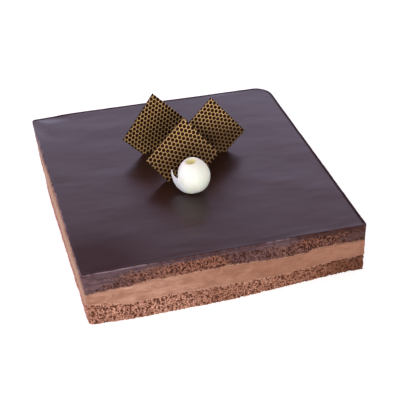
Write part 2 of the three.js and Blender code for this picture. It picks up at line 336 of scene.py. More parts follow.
def closed_body(rows, first_point, last_point):
    """Rows of points going round, lowest first, closed by a fan at each end: points and faces."""
    count = rows.shape[1]
    points = np.concatenate([rows.reshape(-1, 3), [first_point, last_point]])
    first = len(rows) * count
    last_row = first - count
    pairs = [(i, (i + 1) % count) for i in range(count)]
    faces = []
    for row in range(0, last_row, count):
        faces += [[row + i, row + j, row + count + j, row + count + i] for i, j in pairs]
    for i, j in pairs:
        faces.append([first, j, i])
        faces.append([first + 1, last_row + i, last_row + j])
    return points, faces


def with_ends(rows, ends=(0, 0)):
    """Values on the rows of a closed body, followed by those of its two end points."""
    return np.concatenate([np.ravel(rows), ends])


def grid_body(front, back):
    """A closed body between two grids of points of the same size, front facing the viewer."""
    rows, columns = front.shape[:2]
    count = rows * columns
    points = np.concatenate([front.reshape(-1, 3), back.reshape(-1, 3)])
    k = np.arange(count).reshape(rows, columns)
    quads = np.stack([k[:-1, :-1], k[:-1, 1:], k[1:, 1:], k[1:, :-1]], axis=-1).reshape(-1, 4)
    faces = np.stack([quads, count + quads[:, ::-1]], axis=1).reshape(-1, 4).tolist()
    border = np.concatenate([k[0], k[1:, -1], k[-1, -2::-1], k[-2:0:-1, 0]]).tolist()
    faces += [[b, a, count + a, count + b] for a, b in zip(border, border[1:] + border[:1])]
    return points, faces


def inner_ring(row, level):
    """The ring inside a row of the wall where a layer's flat middle begins."""
    shrink = 1 - INNER_RING / HALF_WIDTH
    ring = row * (shrink, shrink, 1)
    ring[:, 2] = level
    return ring


def wall_body(wall, low_level, high_level):
    """A layer from the rows of points on its wall, closed by a flat middle below and above."""
    rows = np.concatenate([
        [inner_ring(wall[0], low_level)], wall, [inner_ring(wall[-1], high_level)],
    ])
    return closed_body(rows, (0, 0, low_level), (0, 0, high_level))


def rows_between(low, high, rows):
    """Heights of rows of points from a layer's lower to its upper edge."""
    return low + (high - low) * np.linspace(0, 1, rows)[:, None]


# ---- shader nodes ----
class Nodes:
    """Shader nodes of a new material, or of the world, made by short calls."""

    def __init__(self, owner, shader="Principled BSDF"):
        owner.use_nodes = True
        self.material = owner
        self.tree = owner.node_tree
        self.shader = self.tree.nodes[shader]

    def node(self, kind, settings=None, **inputs):
        made = self.tree.nodes.new(kind)
        for key, value in (settings or {}).items():
            setattr(made, key, value)
        for key, value in inputs.items():
            self.feed(made.inputs[key.replace("_", " ")], value)
        return made

    def feed(self, socket, value):
        if isinstance(value, bpy.types.NodeSocket):
            self.tree.links.new(value, socket)
        else:
            socket.default_value = value

    def set(self, **inputs):
        for key, value in inputs.items():
            self.feed(self.shader.inputs[key.replace("_", " ")], value)

    def place(self, scale=(1, 1, 1)):
        """The point's place on the object, in millimetres times scale."""
        where = self.node("ShaderNodeTexCoord").outputs["Object"]
        scaled = [s / MM for s in scale]
        return self.node("ShaderNodeMapping", Vector=where, Scale=scaled).outputs["Vector"]

    def noise(self, size, detail=3, rough=0.55, stretch=(1, 1, 1), distort=0):
        """Noise whose grain is size millimetres, longer where stretch is above 1."""
        where = self.place([1 / s for s in stretch])
        made = self.node("ShaderNodeTexNoise", Vector=where, Scale=1 / size, Detail=detail,
                         Roughness=rough, Distortion=distort)
        return made.outputs["Fac"]

    def cells(self, size):
        """Distance to the nearest of many scattered points about size millimetres apart."""
        made = self.node("ShaderNodeTexVoronoi", Vector=self.place(), Scale=1 / size)
        return made.outputs["Distance"]

    def attribute(self, name):
        return self.node("ShaderNodeAttribute", {"attribute_name": name}).outputs["Fac"]

    def ramp(self, value, low, high, to_low=0.0, to_high=1.0):
        """A smooth step of value from low to high, scaled to between to_low and to_high."""
        made = self.node("ShaderNodeMapRange", {"interpolation_type": "SMOOTHSTEP"}, Value=value,
                         From_Min=low, From_Max=high, To_Min=to_low, To_Max=to_high)
        return made.outputs["Result"]

    def math(self, operation, *values, kind="ShaderNodeMath", output="Value"):
        made = self.node(kind, {"operation": operation})
        for socket, value in zip(made.inputs, values):
            self.feed(socket, value)
        return made.outputs[output]

    def vector(self, operation, *values, output="Vector"):
        return self.math(operation, *values, kind="ShaderNodeVectorMath", output=output)

    def mix(self, share, first, second):
        """A colour between two colours; each is a socket or three numbers."""
        made = self.node("ShaderNodeMix", {"data_type": "RGBA"})
        self.feed(made.inputs["Factor"], share)
        for name, value in (("A", first), ("B", second)):
            socket = [s for s in made.inputs if s.name == name and s.type == "RGBA"][0]
            self.feed(socket, value if isinstance(value, bpy.types.NodeSocket) else (*value, 1))
        return [s for s in made.outputs if s.type == "RGBA"][0]

    def bump(self, height, distance, strength=0.5, normal=None):
        """Shading relief of height 0 to 1 times distance in millimetres."""
        made = self.node("ShaderNodeBump", Height=height, Distance=distance * MM, Strength=strength)
        if normal is not None:
            self.feed(made.inputs["Normal"], normal)
        return made.outputs["Normal"]


def new_material(name):
    return Nodes(bpy.data.materials.new(name))


def darkened(colour, share):
    return [share * c for c in colour]


# ---- the sponge ----
# In each crumb, pore is the colour put into the pores and small pits: painted shade in the hollows.
LOWER_CRUMB = {"pale": (0.63, 0.34, 0.25), "tan": (0.29, 0.125, 0.08),
               "torn": (0.27, 0.098, 0.044), "pore": (0.085, 0.023, 0.012)}
UPPER_CRUMB = {"pale": (0.32, 0.15, 0.11), "tan": (0.19, 0.079, 0.054),
               "torn": (0.34, 0.14, 0.09), "pore": (0.045, 0.013, 0.008)}
SHADE_DARK = (0.088, 0.04, 0.038)
SHADE_PALE = (0.152, 0.078, 0.074)
VEIL_DARK = (0.050, 0.025, 0.030)
VEIL_PALE = (0.107, 0.056, 0.063)
VEIL_SPECK = (0.21, 0.125, 0.125)
# painted shade: the crumb on the right of the front darkens towards this, where the light falls off
FALLOFF_SHADE = (0.045, 0.014, 0.007)
# The mousse: dark and pale on the left, then on the right of the front.
MOUSSE_DARK = (0.25, 0.108, 0.066)
MOUSSE_PALE = (0.395, 0.21, 0.145)
MOUSSE_TAN_DARK = (0.205, 0.08, 0.042)
MOUSSE_TAN = (0.262, 0.116, 0.066)
MOUSSE_PINK = (0.338, 0.198, 0.116)  # on the left side of the cake
MOUSSE_LIGHT = (0.45, 0.255, 0.18)
MOUSSE_STREAK = (0.27, 0.112, 0.062)
MOUSSE_SPECK = (0.17, 0.065, 0.04)

# Rows of points up the wall of each sponge, and its first seed.
LOWER_ROWS = 39
LOWER_SEED = 11
UPPER_ROWS = 35
UPPER_SEED = 71
# The pores of each sponge: cell, share of cells with a pore, radius and depth of the pores.
LOWER_PORES = (
    (3.4, 0.5, (0.9, 1.4), (1.0, 2.0)),
    (2.1, 0.85, (0.55, 1.0), (0.8, 1.5)),
    (1.35, 0.7, (0.35, 0.55), (0.4, 0.8)),
)
UPPER_PORES = (
    (3.1, 0.5, (0.8, 1.35), (0.8, 1.7)),
    (1.95, 0.85, (0.5, 0.9), (0.6, 1.3)),
    (1.3, 0.8, (0.34, 0.52), (0.4, 0.8)),
)
PORE_SPOT = (0.15, 0.85)  # where in its cell a pore may lie
PORE_SQUEEZE = (0.75, 1.35)
PORE_WARP = 0.45  # how far the pores' outlines wander
PORE_WARP_GRAIN = 1.5
EDGE_DEPTH = 0.9  # pores take a layer's edges no further in than this
# Layers of noise, as layered_noise takes them.
CRUMB = ((0.2, 0.95, 0.95, 22), (0.3, 6, 5, 23))
VEIL_WARP = ((7, 9, 4, 0), (3, 3.2, 2, 1))
VEIL_RAGGED = ((0.45, 7, 3, 3), (0.4, 2, 1.1, 4))
FILL_RAGGED = ((0.9, 5.5, 3, 0), (0.8, 1.7, 1.5, 1))

# Along the front of the upper sponge: how far glaze was dragged down over it from its top, how
# much of its crumb is freshly torn and brown, and how much is shaded grey by a thin film.
VEIL_X = (-122, -104, -92, -76, -58, -36, -8, 14, 34, 52, 66, 90, 122)
VEIL_DEPTH = (16, 9, 5, 3, 2.4, 2, 1.2, 2, 3.2, 3.2, 0.9, 0.5, 0.9)
VEIL_ELSEWHERE = 2.5
BROWN_X = (-122, -96, -66, -46, -10, 3, 10, 56, 68, 84, 100, 112)
BROWN_SHARE = (0, 0.25, 0.5, 0.75, 1, 0.7, 0.1, 0.1, 0.8, 0.9, 0.6, 0.2)
SHADE_X = (-122, -92, -74, -50, -8, 4, 20, 46, 62, 72, 94, 122)
SHADE_SHARE = (1, 0.85, 0.4, 0.15, 0.1, 0.9, 1, 0.6, 0.4, 0.1, 0.4, 1)
# Smooth smears of glaze across the front: middle, reach and amount.
FRONT_SMEARS = ((112, 41, 20, 4.2, 1), (50, 44, 20, 2.4, 0.5), (-70, 45, 16, 2, 0.4))
# Along the front of both sponges: how much painted shade darkens their crumb towards the right, where the
# light falls off.
FALLOFF_SHADE_X = (-122, 40, 80, 105, 122)
FALLOFF_SHADE_SHARE = (0, 0, 0.12, 0.44, 0.52)
# Along the front of the upper sponge: how much deeper its pores gape.
GAPE_X = (-122, -60, -30, 2, 12, 48, 62, 98, 112)
GAPE = (1.1, 1, 1.1, 1.2, 1.1, 1.1, 2.4, 2.4, 1.6)
# Along the left side of the upper sponge: how far down from its top glaze ran over it; towards
# the back the veil is painted shade on the tucked-in wall.
LEFT_VEIL_SHADE_Y = (-122, 30, 56, 75, 96, 122)
LEFT_VEIL_SHADE_DEPTH = (1.3, 1.5, 6, 14, 30, 40)
# Along the left side of the upper sponge: how far mousse was smeared up over it.
LEFT_SMEAR_Y = (-122, -100, 20, 48, 70, 122)
LEFT_SMEAR = (7, 11, 11, 8, 1, 0)
# Along the front of the lower sponge: how much darker and browner its crumb is.
LOWER_BROWN_X = (-122, -60, -36, -14, 10, 60, 90, 122)
LOWER_BROWN = (0.25, 0, 0.05, 0.55, 0.32, 0.55, 0.85, 0.85)
# How far mousse fills the pores of each sponge along its seam, and the first seed of that.
LOWER_FILL = (1.5, 151)
UPPER_FILL = (0.9, 161)


def sponge_material(name, crumbs):
    """Chocolate sponge: crumb walls, pores darkened with painted shade, and what the knife dragged over
    it.

    The attributes on the wall say how brown or shaded grey its crumb is, how much painted shade
    darkens it towards the right, where glaze or mousse covers it, and how pink that mousse is.
    """
    n = new_material(name)
    crumb = n.mix(n.ramp(n.noise(1.2, 4), 0.38, 0.62), crumbs["tan"], crumbs["pale"])
    crumb = n.mix(n.ramp(n.noise(11), 0.4, 0.7, 0, 0.45), crumb, crumbs["tan"])
    torn = n.mix(n.ramp(n.noise(0.9), 0.38, 0.62), darkened(crumbs["torn"], 0.5), crumbs["torn"])
    crumb = n.mix(n.attribute("brown"), crumb, torn)
    shade = n.mix(n.ramp(n.noise(1.2), 0.3, 0.7), SHADE_DARK, SHADE_PALE)
    crumb = n.mix(n.attribute("shade"), crumb, shade)
    # Small pits and the pores, darker where they are deeper, get painted shade.
    speck = n.math("MULTIPLY", n.ramp(n.cells(0.95), 0.36, 0.22), n.ramp(n.noise(2.1, 2), 0.35, 0.55))
    hole = n.math("MAXIMUM", n.attribute("pore"), speck)
    colour = n.mix(n.math("MULTIPLY", hole, 0.96), crumb, crumbs["pore"])
    filling = n.mix(n.ramp(n.noise(1.8, stretch=(3, 3, 1)), 0.35, 0.65),
                    darkened(MOUSSE_PALE, 0.8), MOUSSE_PALE)
    filling = n.mix(n.attribute("pink"), filling, MOUSSE_PINK)
    colour = n.mix(n.attribute("filled"), colour, filling)
    veil = n.mix(n.ramp(n.noise(1.9, 4, stretch=(4, 4, 1)), 0.35, 0.65), VEIL_DARK, VEIL_PALE)
    veil = n.mix(n.ramp(n.noise(1.1), 0.56, 0.70, 0, 0.75), veil, VEIL_SPECK)
    colour = n.mix(n.attribute("veil"), colour, veil)
    # painted shade towards the right of the front, where the light falls off
    colour = n.mix(n.attribute("falloff_shade"), colour, FALLOFF_SHADE)
    relief = n.bump(n.ramp(speck, 0, 1, 1, 0), 0.35)
    relief = n.bump(n.noise(0.5, 4, 0.65), 0.35, normal=relief)
    n.set(Base_Color=colour, Normal=relief, Specular_IOR_Level=0.15)
    n.set(Roughness=n.ramp(n.attribute("veil"), 0, 1, 0.8, 0.42))
    return n.material


def pore_depth(stations, along, z, cell, share, radius, depth, seed):
    """Depth of round pores scattered over the wall, at most one in each cell."""
    random = np.random.default_rng(seed)
    columns = round(stations["round"] / cell)
    rows = int(HEIGHT / cell) + 3
    spot = random.uniform(*PORE_SPOT, (columns, rows, 2))
    size = random.uniform(*radius, (columns, rows))
    squeeze = random.uniform(*PORE_SQUEEZE, (columns, rows))
    deep = random.uniform(*depth, (columns, rows))
    deep[random.uniform(0, 1, (columns, rows)) > share] = 0
    u = along / stations["round"] * columns
    v = z / cell + 1
    iu = np.floor(u).astype(int)
    iv = np.floor(v).astype(int)
    found = np.zeros_like(z)
    for du in (-1, 0, 1):
        for dv in (-1, 0, 1):
            i = (iu + du) % columns
            j = np.clip(iv + dv, 0, rows - 1)
            across = (u - iu - du - spot[i, j, 0]) * cell * squeeze[i, j]
            up = (v - iv - dv - spot[i, j, 1]) * cell / squeeze[i, j]
            away = (across**2 + up**2) / size[i, j] ** 2
            found = np.maximum(found, deep[i, j] * np.clip(1 - away, 0, 1) ** 0.6)
    return found


# Painted shade along the front of the sponges, darker towards the right where the light falls off.
def painted_falloff_shade(stations):
    return front_share(stations) * between(FALLOFF_SHADE_X, FALLOFF_SHADE_SHARE, stations["points"][:, 0])


def filled_share(stations, z, edge, reach, seed):
    """Where mousse fills the pores within about reach of an edge."""
    ragged = np.maximum(1 + layered_noise(stations, z, FILL_RAGGED, seed), 0.15)
    return 1 - smoothstep(0.5, 1.1, np.abs(z - edge) / (reach * ragged))


def upper_veil(stations, z, x):
    """Where glaze was dragged, ran or was smeared over the upper sponge, with painted shade at the back
    of its left side; x is slightly warped.
    """
    front = front_share(stations)
    left = left_share(stations) * (1 - front)
    elsewhere = VEIL_ELSEWHERE * (1 + ring_noise(stations, 31, UPPER_SEED + 2))
    depth = front * between(VEIL_X, VEIL_DEPTH, x) + (1 - front - left) * elsewhere
    # Towards the back of the left side this veil is painted shade.
    depth += left * between(LEFT_VEIL_SHADE_Y, LEFT_VEIL_SHADE_DEPTH, stations["points"][:, 1])
    ragged = 1 + layered_noise(stations, z, VEIL_RAGGED, UPPER_SEED)
    veil = 1 - smoothstep(0.7, 1.25, (z[-1] - z) / (depth * ragged))
    streak = 0.75 + 0.4 * around_noise(stations, z, 8, 0.9, UPPER_SEED + 5)
    for mid_x, mid_z, reach_x, reach_z, amount in FRONT_SMEARS:
        far = np.hypot((x - mid_x) / reach_x, (z - mid_z) / reach_z)
        veil = np.maximum(veil, front * amount * streak * (1 - smoothstep(0.6, 1.1, far)))
    return np.clip(veil, 0, 1)


def upper_looks(stations, z):
    """Where the upper sponge is veiled, brown, shaded grey and darkened by painted shade, and how its
    pores gape.
    """
    x = warped_x(stations, layered_noise(stations, z, VEIL_WARP, UPPER_SEED))
    front = front_share(stations)
    tone = around_noise(stations, z, 37, 30, UPPER_SEED + 6)
    brown = front * between(BROWN_X, BROWN_SHARE, x) + (1 - front) * smoothstep(-0.2, 0.6, tone)
    shade = front * between(SHADE_X, SHADE_SHARE, x) + (1 - front) * smoothstep(0.1, 0.8, -tone)
    mottle = 0.3 * around_noise(stations, z, 2.6, 1.8, UPPER_SEED + 7)
    shade = shade + mottle * (shade > 0.05)
    gape = 1 + front * (between(GAPE_X, GAPE, x) - 1)
    return {"veil": upper_veil(stations, z, x), "brown": np.clip(brown, 0, 1),
            "shade": np.clip(shade, 0, 1), "falloff_shade": painted_falloff_shade(stations), "gape": gape}


def lower_looks(stations, z):
    """The lower sponge is browner towards the right of the front; no glaze reaches it."""
    x = warped_x(stations, 8 * around_noise(stations, z, 9, 5, LOWER_SEED))
    front = front_share(stations)
    tone = 0.5 + 0.5 * around_noise(stations, z, 41, 30, LOWER_SEED + 1)
    elsewhere = 0.7 * tone * (1 - 0.8 * left_share(stations))
    brown = front * between(LOWER_BROWN_X, LOWER_BROWN, x) + (1 - front) * elsewhere
    closed = 0.2 + 0.5 * around_noise(stations, z, 12, 5, LOWER_SEED + 2)
    closed_foot = 0.5 * (1 - smoothstep(0.5, 3.5, z)) * np.clip(closed, 0, 1)
    return {"veil": 0, "brown": np.clip(brown, 0, 1), "shade": 0, "falloff_shade": painted_falloff_shade(stations),
            "closed": closed_foot}


def sponge_wall(name, stations, z, pore_sizes, looks, seed, material):
    """A sponge layer from its rows of heights, with pores cut into its side.

    The looks are the values that its material reads; closed and gape change the pores alone.
    """
    closed = looks.pop("closed", 0)
    gape = looks.pop("gape", 1)
    warp = [PORE_WARP * around_noise(stations, z, PORE_WARP_GRAIN, PORE_WARP_GRAIN, seed + k)
            for k in (20, 21)]
    pores = np.zeros_like(z)
    for k, sizes in enumerate(pore_sizes):
        found = pore_depth(stations, stations["along"] + warp[0], z + warp[1], *sizes, seed + 30 + k)
        pores = np.maximum(pores, found)
    cover = 0.8 * np.maximum(looks["veil"], looks["filled"])
    depth = pores * (1 - np.maximum(cover, closed)) * np.minimum(gape, 1.4)
    offset = 0.2 + layered_noise(stations, z, CRUMB, seed) * (1 - 0.6 * cover) - depth
    offset[[0, -1]] = np.maximum(offset[[0, -1]], -EDGE_DEPTH)
    points, faces = wall_body(wall_points(stations, z, offset), z[0].mean(), z[-1].mean())
    # pore: painted shade in the pores, darker where they are deeper
    looks["pore"] = smoothstep(0.2, 0.85, depth * gape)
    looks["pink"] = 0.85 * left_share(stations)
    values = {key: with_ends(np.pad(look + 0 * z, ((1, 1), (0, 0)))) for key, look in looks.items()}
    return mesh_object(name, placed(points), faces, material, values)


def lower_sponge(stations, foot, top):
    z = rows_between(foot, top, LOWER_ROWS)
    looks = lower_looks(stations, z)
    looks["filled"] = filled_share(stations, z, top, *LOWER_FILL)
    material = sponge_material("lower_sponge", LOWER_CRUMB)
    return sponge_wall("lower_sponge_crumb", stations, z, LOWER_PORES, looks, LOWER_SEED, material)


def upper_sponge(stations, foot, top):
    z = rows_between(foot, top, UPPER_ROWS)
    looks = upper_looks(stations, z)
    reach, seed = UPPER_FILL
    reach = reach + left_share(stations) * between(LEFT_SMEAR_Y, LEFT_SMEAR, stations["points"][:, 1])
    looks["filled"] = filled_share(stations, z, foot, reach, seed)
    material = sponge_material("upper_sponge", UPPER_CRUMB)
    return sponge_wall("upper_sponge_crumb", stations, z, UPPER_PORES, looks, UPPER_SEED, material)


# ---- the mousse ----
MOUSSE_ROWS = 30
MOUSSE_SEED = 51
MOUSSE_OUT = 0.25  # how far it stands out of the plan
MOUSSE_RELIEF = ((0.25, 9, 2.2, 0), (0.12, 3.5, 0.9, 1))
MOUSSE_HOLES = (3.4, 0.25, (0.35, 0.8), (0.3, 0.8))
# Along the front of the mousse: how much browner it is.
MOUSSE_X = (-122, -80, -40, 10, 50, 122)
MOUSSE_TAN_SHARE = (0.75, 0, 0.3, 0.8, 1, 1)
MOUSSE_TAN_ELSEWHERE = 0.3


def mousse_material():
    """Chocolate mousse, cut smooth, with soft patches and a few streaks drawn along the cut."""
    n = new_material("chocolate_mousse")
    streak = n.noise(1.8, 4, stretch=(7, 7, 1), distort=0.6)
    patches = n.ramp(n.noise(6, 4, 0.6, stretch=(2.6, 2.6, 1), distort=0.8), 0.34, 0.64)
    light = n.ramp(n.noise(7, stretch=(3, 3, 1)), 0.54, 0.70, 0, 0.7)
    colour = n.mix(light, n.mix(patches, MOUSSE_DARK, MOUSSE_PALE), MOUSSE_LIGHT)
    colour = n.mix(n.attribute("tan"), colour, n.mix(patches, MOUSSE_TAN_DARK, MOUSSE_TAN))
    colour = n.mix(n.attribute("pink"), colour, MOUSSE_PINK)
    colour = n.mix(n.ramp(streak, 0.40, 0.66, 0, 0.4), colour, MOUSSE_STREAK)
    colour = n.mix(n.ramp(n.noise(0.8), 0.60, 0.74, 0, 0.45), colour, MOUSSE_SPECK)
    relief = n.bump(n.noise(0.6), 0.2, normal=n.bump(streak, 0.35))
    n.set(Base_Color=colour, Roughness=0.55, Specular_IOR_Level=0.35, Normal=relief)
    return n.material


def mousse_layer(stations, foot, top):
    z = rows_between(foot, top, MOUSSE_ROWS)
    offset = MOUSSE_OUT + layered_noise(stations, z, MOUSSE_RELIEF, MOUSSE_SEED)
    offset -= pore_depth(stations, stations["along"], z, *MOUSSE_HOLES, MOUSSE_SEED + 2)
    points, faces = wall_body(wall_points(stations, z, offset), foot.mean(), top.mean())
    front = front_share(stations)
    tan = front * between(MOUSSE_X, MOUSSE_TAN_SHARE, stations["points"][:, 0])
    tan += MOUSSE_TAN_ELSEWHERE * (1 - front)
    looks = {"tan": tan, "pink": 0.8 * left_share(stations)}
    values = {key: with_ends(np.tile(look, MOUSSE_ROWS + 2)) for key, look in looks.items()}
    return mesh_object("mousse_layer", placed(points), faces, mousse_material(), values)


# ---- the glaze ----
GLAZE_STEP = 0.9  # between the points round the glaze
GLAZE_EDGE = 0.9  # the radius of its rounded edge
EDGE_ANGLES = (0, 22, 45, 68, 90)
RIM_RISE = 0.06  # the glaze stands slightly higher along its rim
RIM_WIDTH = 2.4
LEVEL_REACH = 14  # the top is level from this far inside its rim
RING_STEPS = (*[0.55] * 10, *np.linspace(0.8, 3.2, 40))  # between rings, from the rim inwards
TOP_WAVES = ((0.16, 34, 21, 302), (0.03, 16, 6, 303))  # height, grain along x and y, seed
DARK_RIM = 2.1  # along the back and the right the rim is dull this far inwards
DARK_REFLECTION_SPOT = (-106, -104, 42)  # a painted darker reflection on the top here: middle and reach
# The cut side of the glaze from its foot (0) to its edge (1): how far out it stands.
GLAZE_SIDE = ((0, 0.05), (0.1, 0.45), (0.22, 0.7), (0.38, 0.6), (0.6, 0.35), (0.8, 0.25))
# Along the front: how much paler colour lies on the cut side, a paler skin of glaze and painted sheen.
FILM_SHEEN_X = (-122, -95, -70, -45, 0, 24, 34, 52, 60, 90, 112, 120)
FILM_SHEEN_SHARE = (0.8, 1, 0.8, 0.45, 0.4, 0.5, 0.8, 0.75, 0.2, 0, 0, 0.9)
FILM_SHEEN_ELSEWHERE = 0.2
FILM_SHEEN_LEFT = 0.75
GLAZE_DARK = (0.015, 0.0037, 0.0024)
GLAZE_PALE = (0.023, 0.0061, 0.004)
# painted darker reflection: the top's colour where its reflection is dimmed
DARK_REFLECTION_GLAZE = (0.025, 0.0066, 0.0047)
EDGE_HIGHLIGHT = (0.245, 0.178, 0.2)  # painted highlight along the glaze's rounded edge
CUT_DARK = (0.030, 0.010, 0.009)
CUT_BROWN = (0.060, 0.022, 0.018)
# a paler skin of glaze and painted sheen on the cut side
CUT_FILM_SHEEN = (0.09, 0.054, 0.064)


def glaze_material():
    """Dark chocolate glaze with the marks of the spatula drawn across it.

    Its side is cut dull. Attributes say where a paler skin and painted sheen lie on the cut side,
    where a painted highlight runs along its rounded edge, where the top is dull by its edge (rim) and
    where a painted darker reflection lies on the top (thin).
    """
    n = new_material("chocolate_glaze")
    side = n.attribute("side")
    # thin marks a painted darker reflection on the top near the front left
    thin = n.attribute("thin")
    streak = n.noise(2.8, 5, 0.6, stretch=(18, 1, 1), distort=0.6)
    band = n.noise(10, 3, 0.5, stretch=(10, 1, 1), distort=0.5)
    cloud = n.noise(38, stretch=(2.2, 1, 1))
    top = n.mix(n.ramp(streak, 0.35, 0.65), GLAZE_DARK, GLAZE_PALE)
    top = n.mix(thin, top, DARK_REFLECTION_GLAZE)
    cut = n.mix(n.ramp(n.noise(2, 4, stretch=(5, 5, 1)), 0.35, 0.65), CUT_DARK, CUT_BROWN)
    # painted sheen, with a paler skin of glaze, on the cut side
    cut = n.mix(n.attribute("film_sheen"), cut, CUT_FILM_SHEEN)
    # painted highlight along the rounded edge
    cut = n.mix(n.attribute("lip"), cut, EDGE_HIGHLIGHT)
    relief = n.bump(band, 0.035, normal=n.bump(streak, 0.03))
    relief = n.bump(n.noise(24, 2, stretch=(2, 1, 1)), 0.8, 0.4, relief)
    gloss = n.ramp(cloud, 0.35, 0.7, 0.29, 0.36)
    rough = n.math("ADD", gloss, n.math("MULTIPLY", side, 0.3))
    n.set(Base_Color=n.mix(side, top, cut), Roughness=rough, Normal=relief)
    dull = n.math("MULTIPLY", n.ramp(side, 0, 1, 0.5, 0.06), n.ramp(n.attribute("rim"), 0, 1, 1, 0.1))
    # thin dims the top's reflection there: a painted darker reflection
    n.set(Specular_IOR_Level=n.math("MULTIPLY", dull, n.ramp(thin, 0, 1, 1, 0.42)))
    return n.material


def glaze_side(stations, low, top):
    """Rows up the glaze's cut side, with a bead at its foot, and over its rounded edge."""
    front = front_share(stations)
    left = left_share(stations)
    lip = (0.12 + 0.16 * front) * ring_noise(stations, 7, 301)
    lip += (0.06 + 0.06 * front + 0.2 * left) * ring_noise(stations, 2.2, 304)
    bead = 0.6 + 0.6 * ring_noise(stations, 15, 305)
    heights = []
    offsets = []
    for share, offset in GLAZE_SIDE:
        heights.append(low + (top - GLAZE_EDGE - low) * share)
        offsets.append(offset * bead + lip * (share > 0))
    edge_out = GLAZE_SIDE[-1][1]
    for angle in np.radians(EDGE_ANGLES):
        heights.append(top - GLAZE_EDGE * (1 - math.sin(angle)))
        offsets.append(edge_out - GLAZE_EDGE * (1 - math.cos(angle)) + lip)
    return wall_points(stations, np.stack(heights), np.stack(offsets))


def glaze_top(rim):
    """Rings from the rim to the middle of the slightly uneven top, and how far in each lies."""
    inward = np.cumsum(RING_STEPS)
    inward = inward[inward < HALF_WIDTH - 2]
    rings = []
    for distance in inward:
        shrink = 1 - distance / HALF_WIDTH
        ring = rim * (shrink, shrink, 1)
        level = smoothstep(0, LEVEL_REACH, distance)
        rise = RIM_RISE * (1 - smoothstep(0, RIM_WIDTH, distance))
        wave = sum(height * noise(ring[:, 0] / grain_x, ring[:, 1] / grain_y, seed)
                   for height, grain_x, grain_y, seed in TOP_WAVES)
        ring[:, 2] = (rim[:, 2] - RIM_RISE) * (1 - level) + HEIGHT * level + rise
        ring[:, 2] += wave * smoothstep(0, 6, distance)
        rings.append(ring)
    return np.stack(rings), inward


def glaze_looks(stations, points, inward):
    """The values that the glaze's material reads, ring by ring from the one under its wall."""
    count = len(stations["along"])
    front = front_share(stations)
    below = np.ones(1 + len(GLAZE_SIDE))
    angles = np.array(EDGE_ANGLES)
    side = np.concatenate([below, np.maximum(np.cos(np.radians(angles)), 0) ** 0.3, 0 * inward])
    on_lip = np.concatenate([0 * below, (angles > 0) & (angles < 90), 0 * inward])
    inward = np.concatenate([0 * below, 0 * angles, inward])
    far_side = np.clip(stations["outs"].max(axis=1), 0, 1) ** 2
    x = warped_x(stations, 6 * ring_noise(stations, 9, 306))
    # where a paler skin of glaze and painted sheen lie on the cut side
    film_sheen = front * between(FILM_SHEEN_X, FILM_SHEEN_SHARE, x)
    film_sheen += (1 - front) * (FILM_SHEEN_ELSEWHERE + (FILM_SHEEN_LEFT - FILM_SHEEN_ELSEWHERE) * left_share(stations))
    film_sheen = np.clip(film_sheen + 0.25 * ring_noise(stations, 2.5, 307), 0, 1)
    # painted highlight along the rounded edge, strongest where the sheen is
    edge_highlight_share = smoothstep(0.5, 0.95, film_sheen) * (0.6 + 0.4 * ring_noise(stations, 5, 308))
    # the painted darker reflection near the front left
    spot_x, spot_y, spot_reach = DARK_REFLECTION_SPOT
    from_spot = np.hypot(points[:, 0] - spot_x, points[:, 1] - spot_y)
    return {
        "side": with_ends(np.repeat(side, count), (1, 0)),
        "film_sheen": with_ends(np.tile(film_sheen, len(side))),
        "lip": with_ends(np.outer(on_lip, edge_highlight_share)),
        "rim": with_ends(np.outer(1 - smoothstep(0.6 * DARK_RIM, 1.4 * DARK_RIM, inward), far_side)),
        "thin": np.exp(-((from_spot / spot_reach) ** 2)),
    }


def glaze_coat(stations):
    low = seam_height(stations, "upper_sponge")
    from_corner = np.hypot(*(stations["points"] + (HALF_WIDTH, -HALF_DEPTH)).T)
    top = HEIGHT - CORNER_SAG * bump(from_corner, CORNER_SAG_REACH) + RIM_RISE
    side = glaze_side(stations, low, top)
    rings, inward = glaze_top(side[-1])
    foot = low.mean()
    rows = np.concatenate([[inner_ring(side[0], foot)], side, rings])
    points, faces = closed_body(rows, (0, 0, foot), (0, 0, HEIGHT))
    looks = glaze_looks(stations, points, inward)
    return mesh_object("glaze_coat", placed(points), faces, glaze_material(), looks)


# ---- the chocolate squares ----
EDGE_ROUND = 0.3
SQUARE_CELLS = 24
SQUARE_BOW = 0.25
PRINT_MARGIN = 0.05
PRINT_SHADE_TOP = 90  # painted shade on the print grows from this height down to the next one
PRINT_SHADE_FOOT = 58
GOLD_DARK = (0.43, 0.26, 0.1)
GOLD_PALE = (0.72, 0.465, 0.21)
# painted shade low on the print
GOLD_SHADE = (0.225, 0.135, 0.06)
CHOCOLATE_DARK = (0.010, 0.003, 0.001)
CHOCOLATE_PALE = (0.022, 0.007, 0.003)


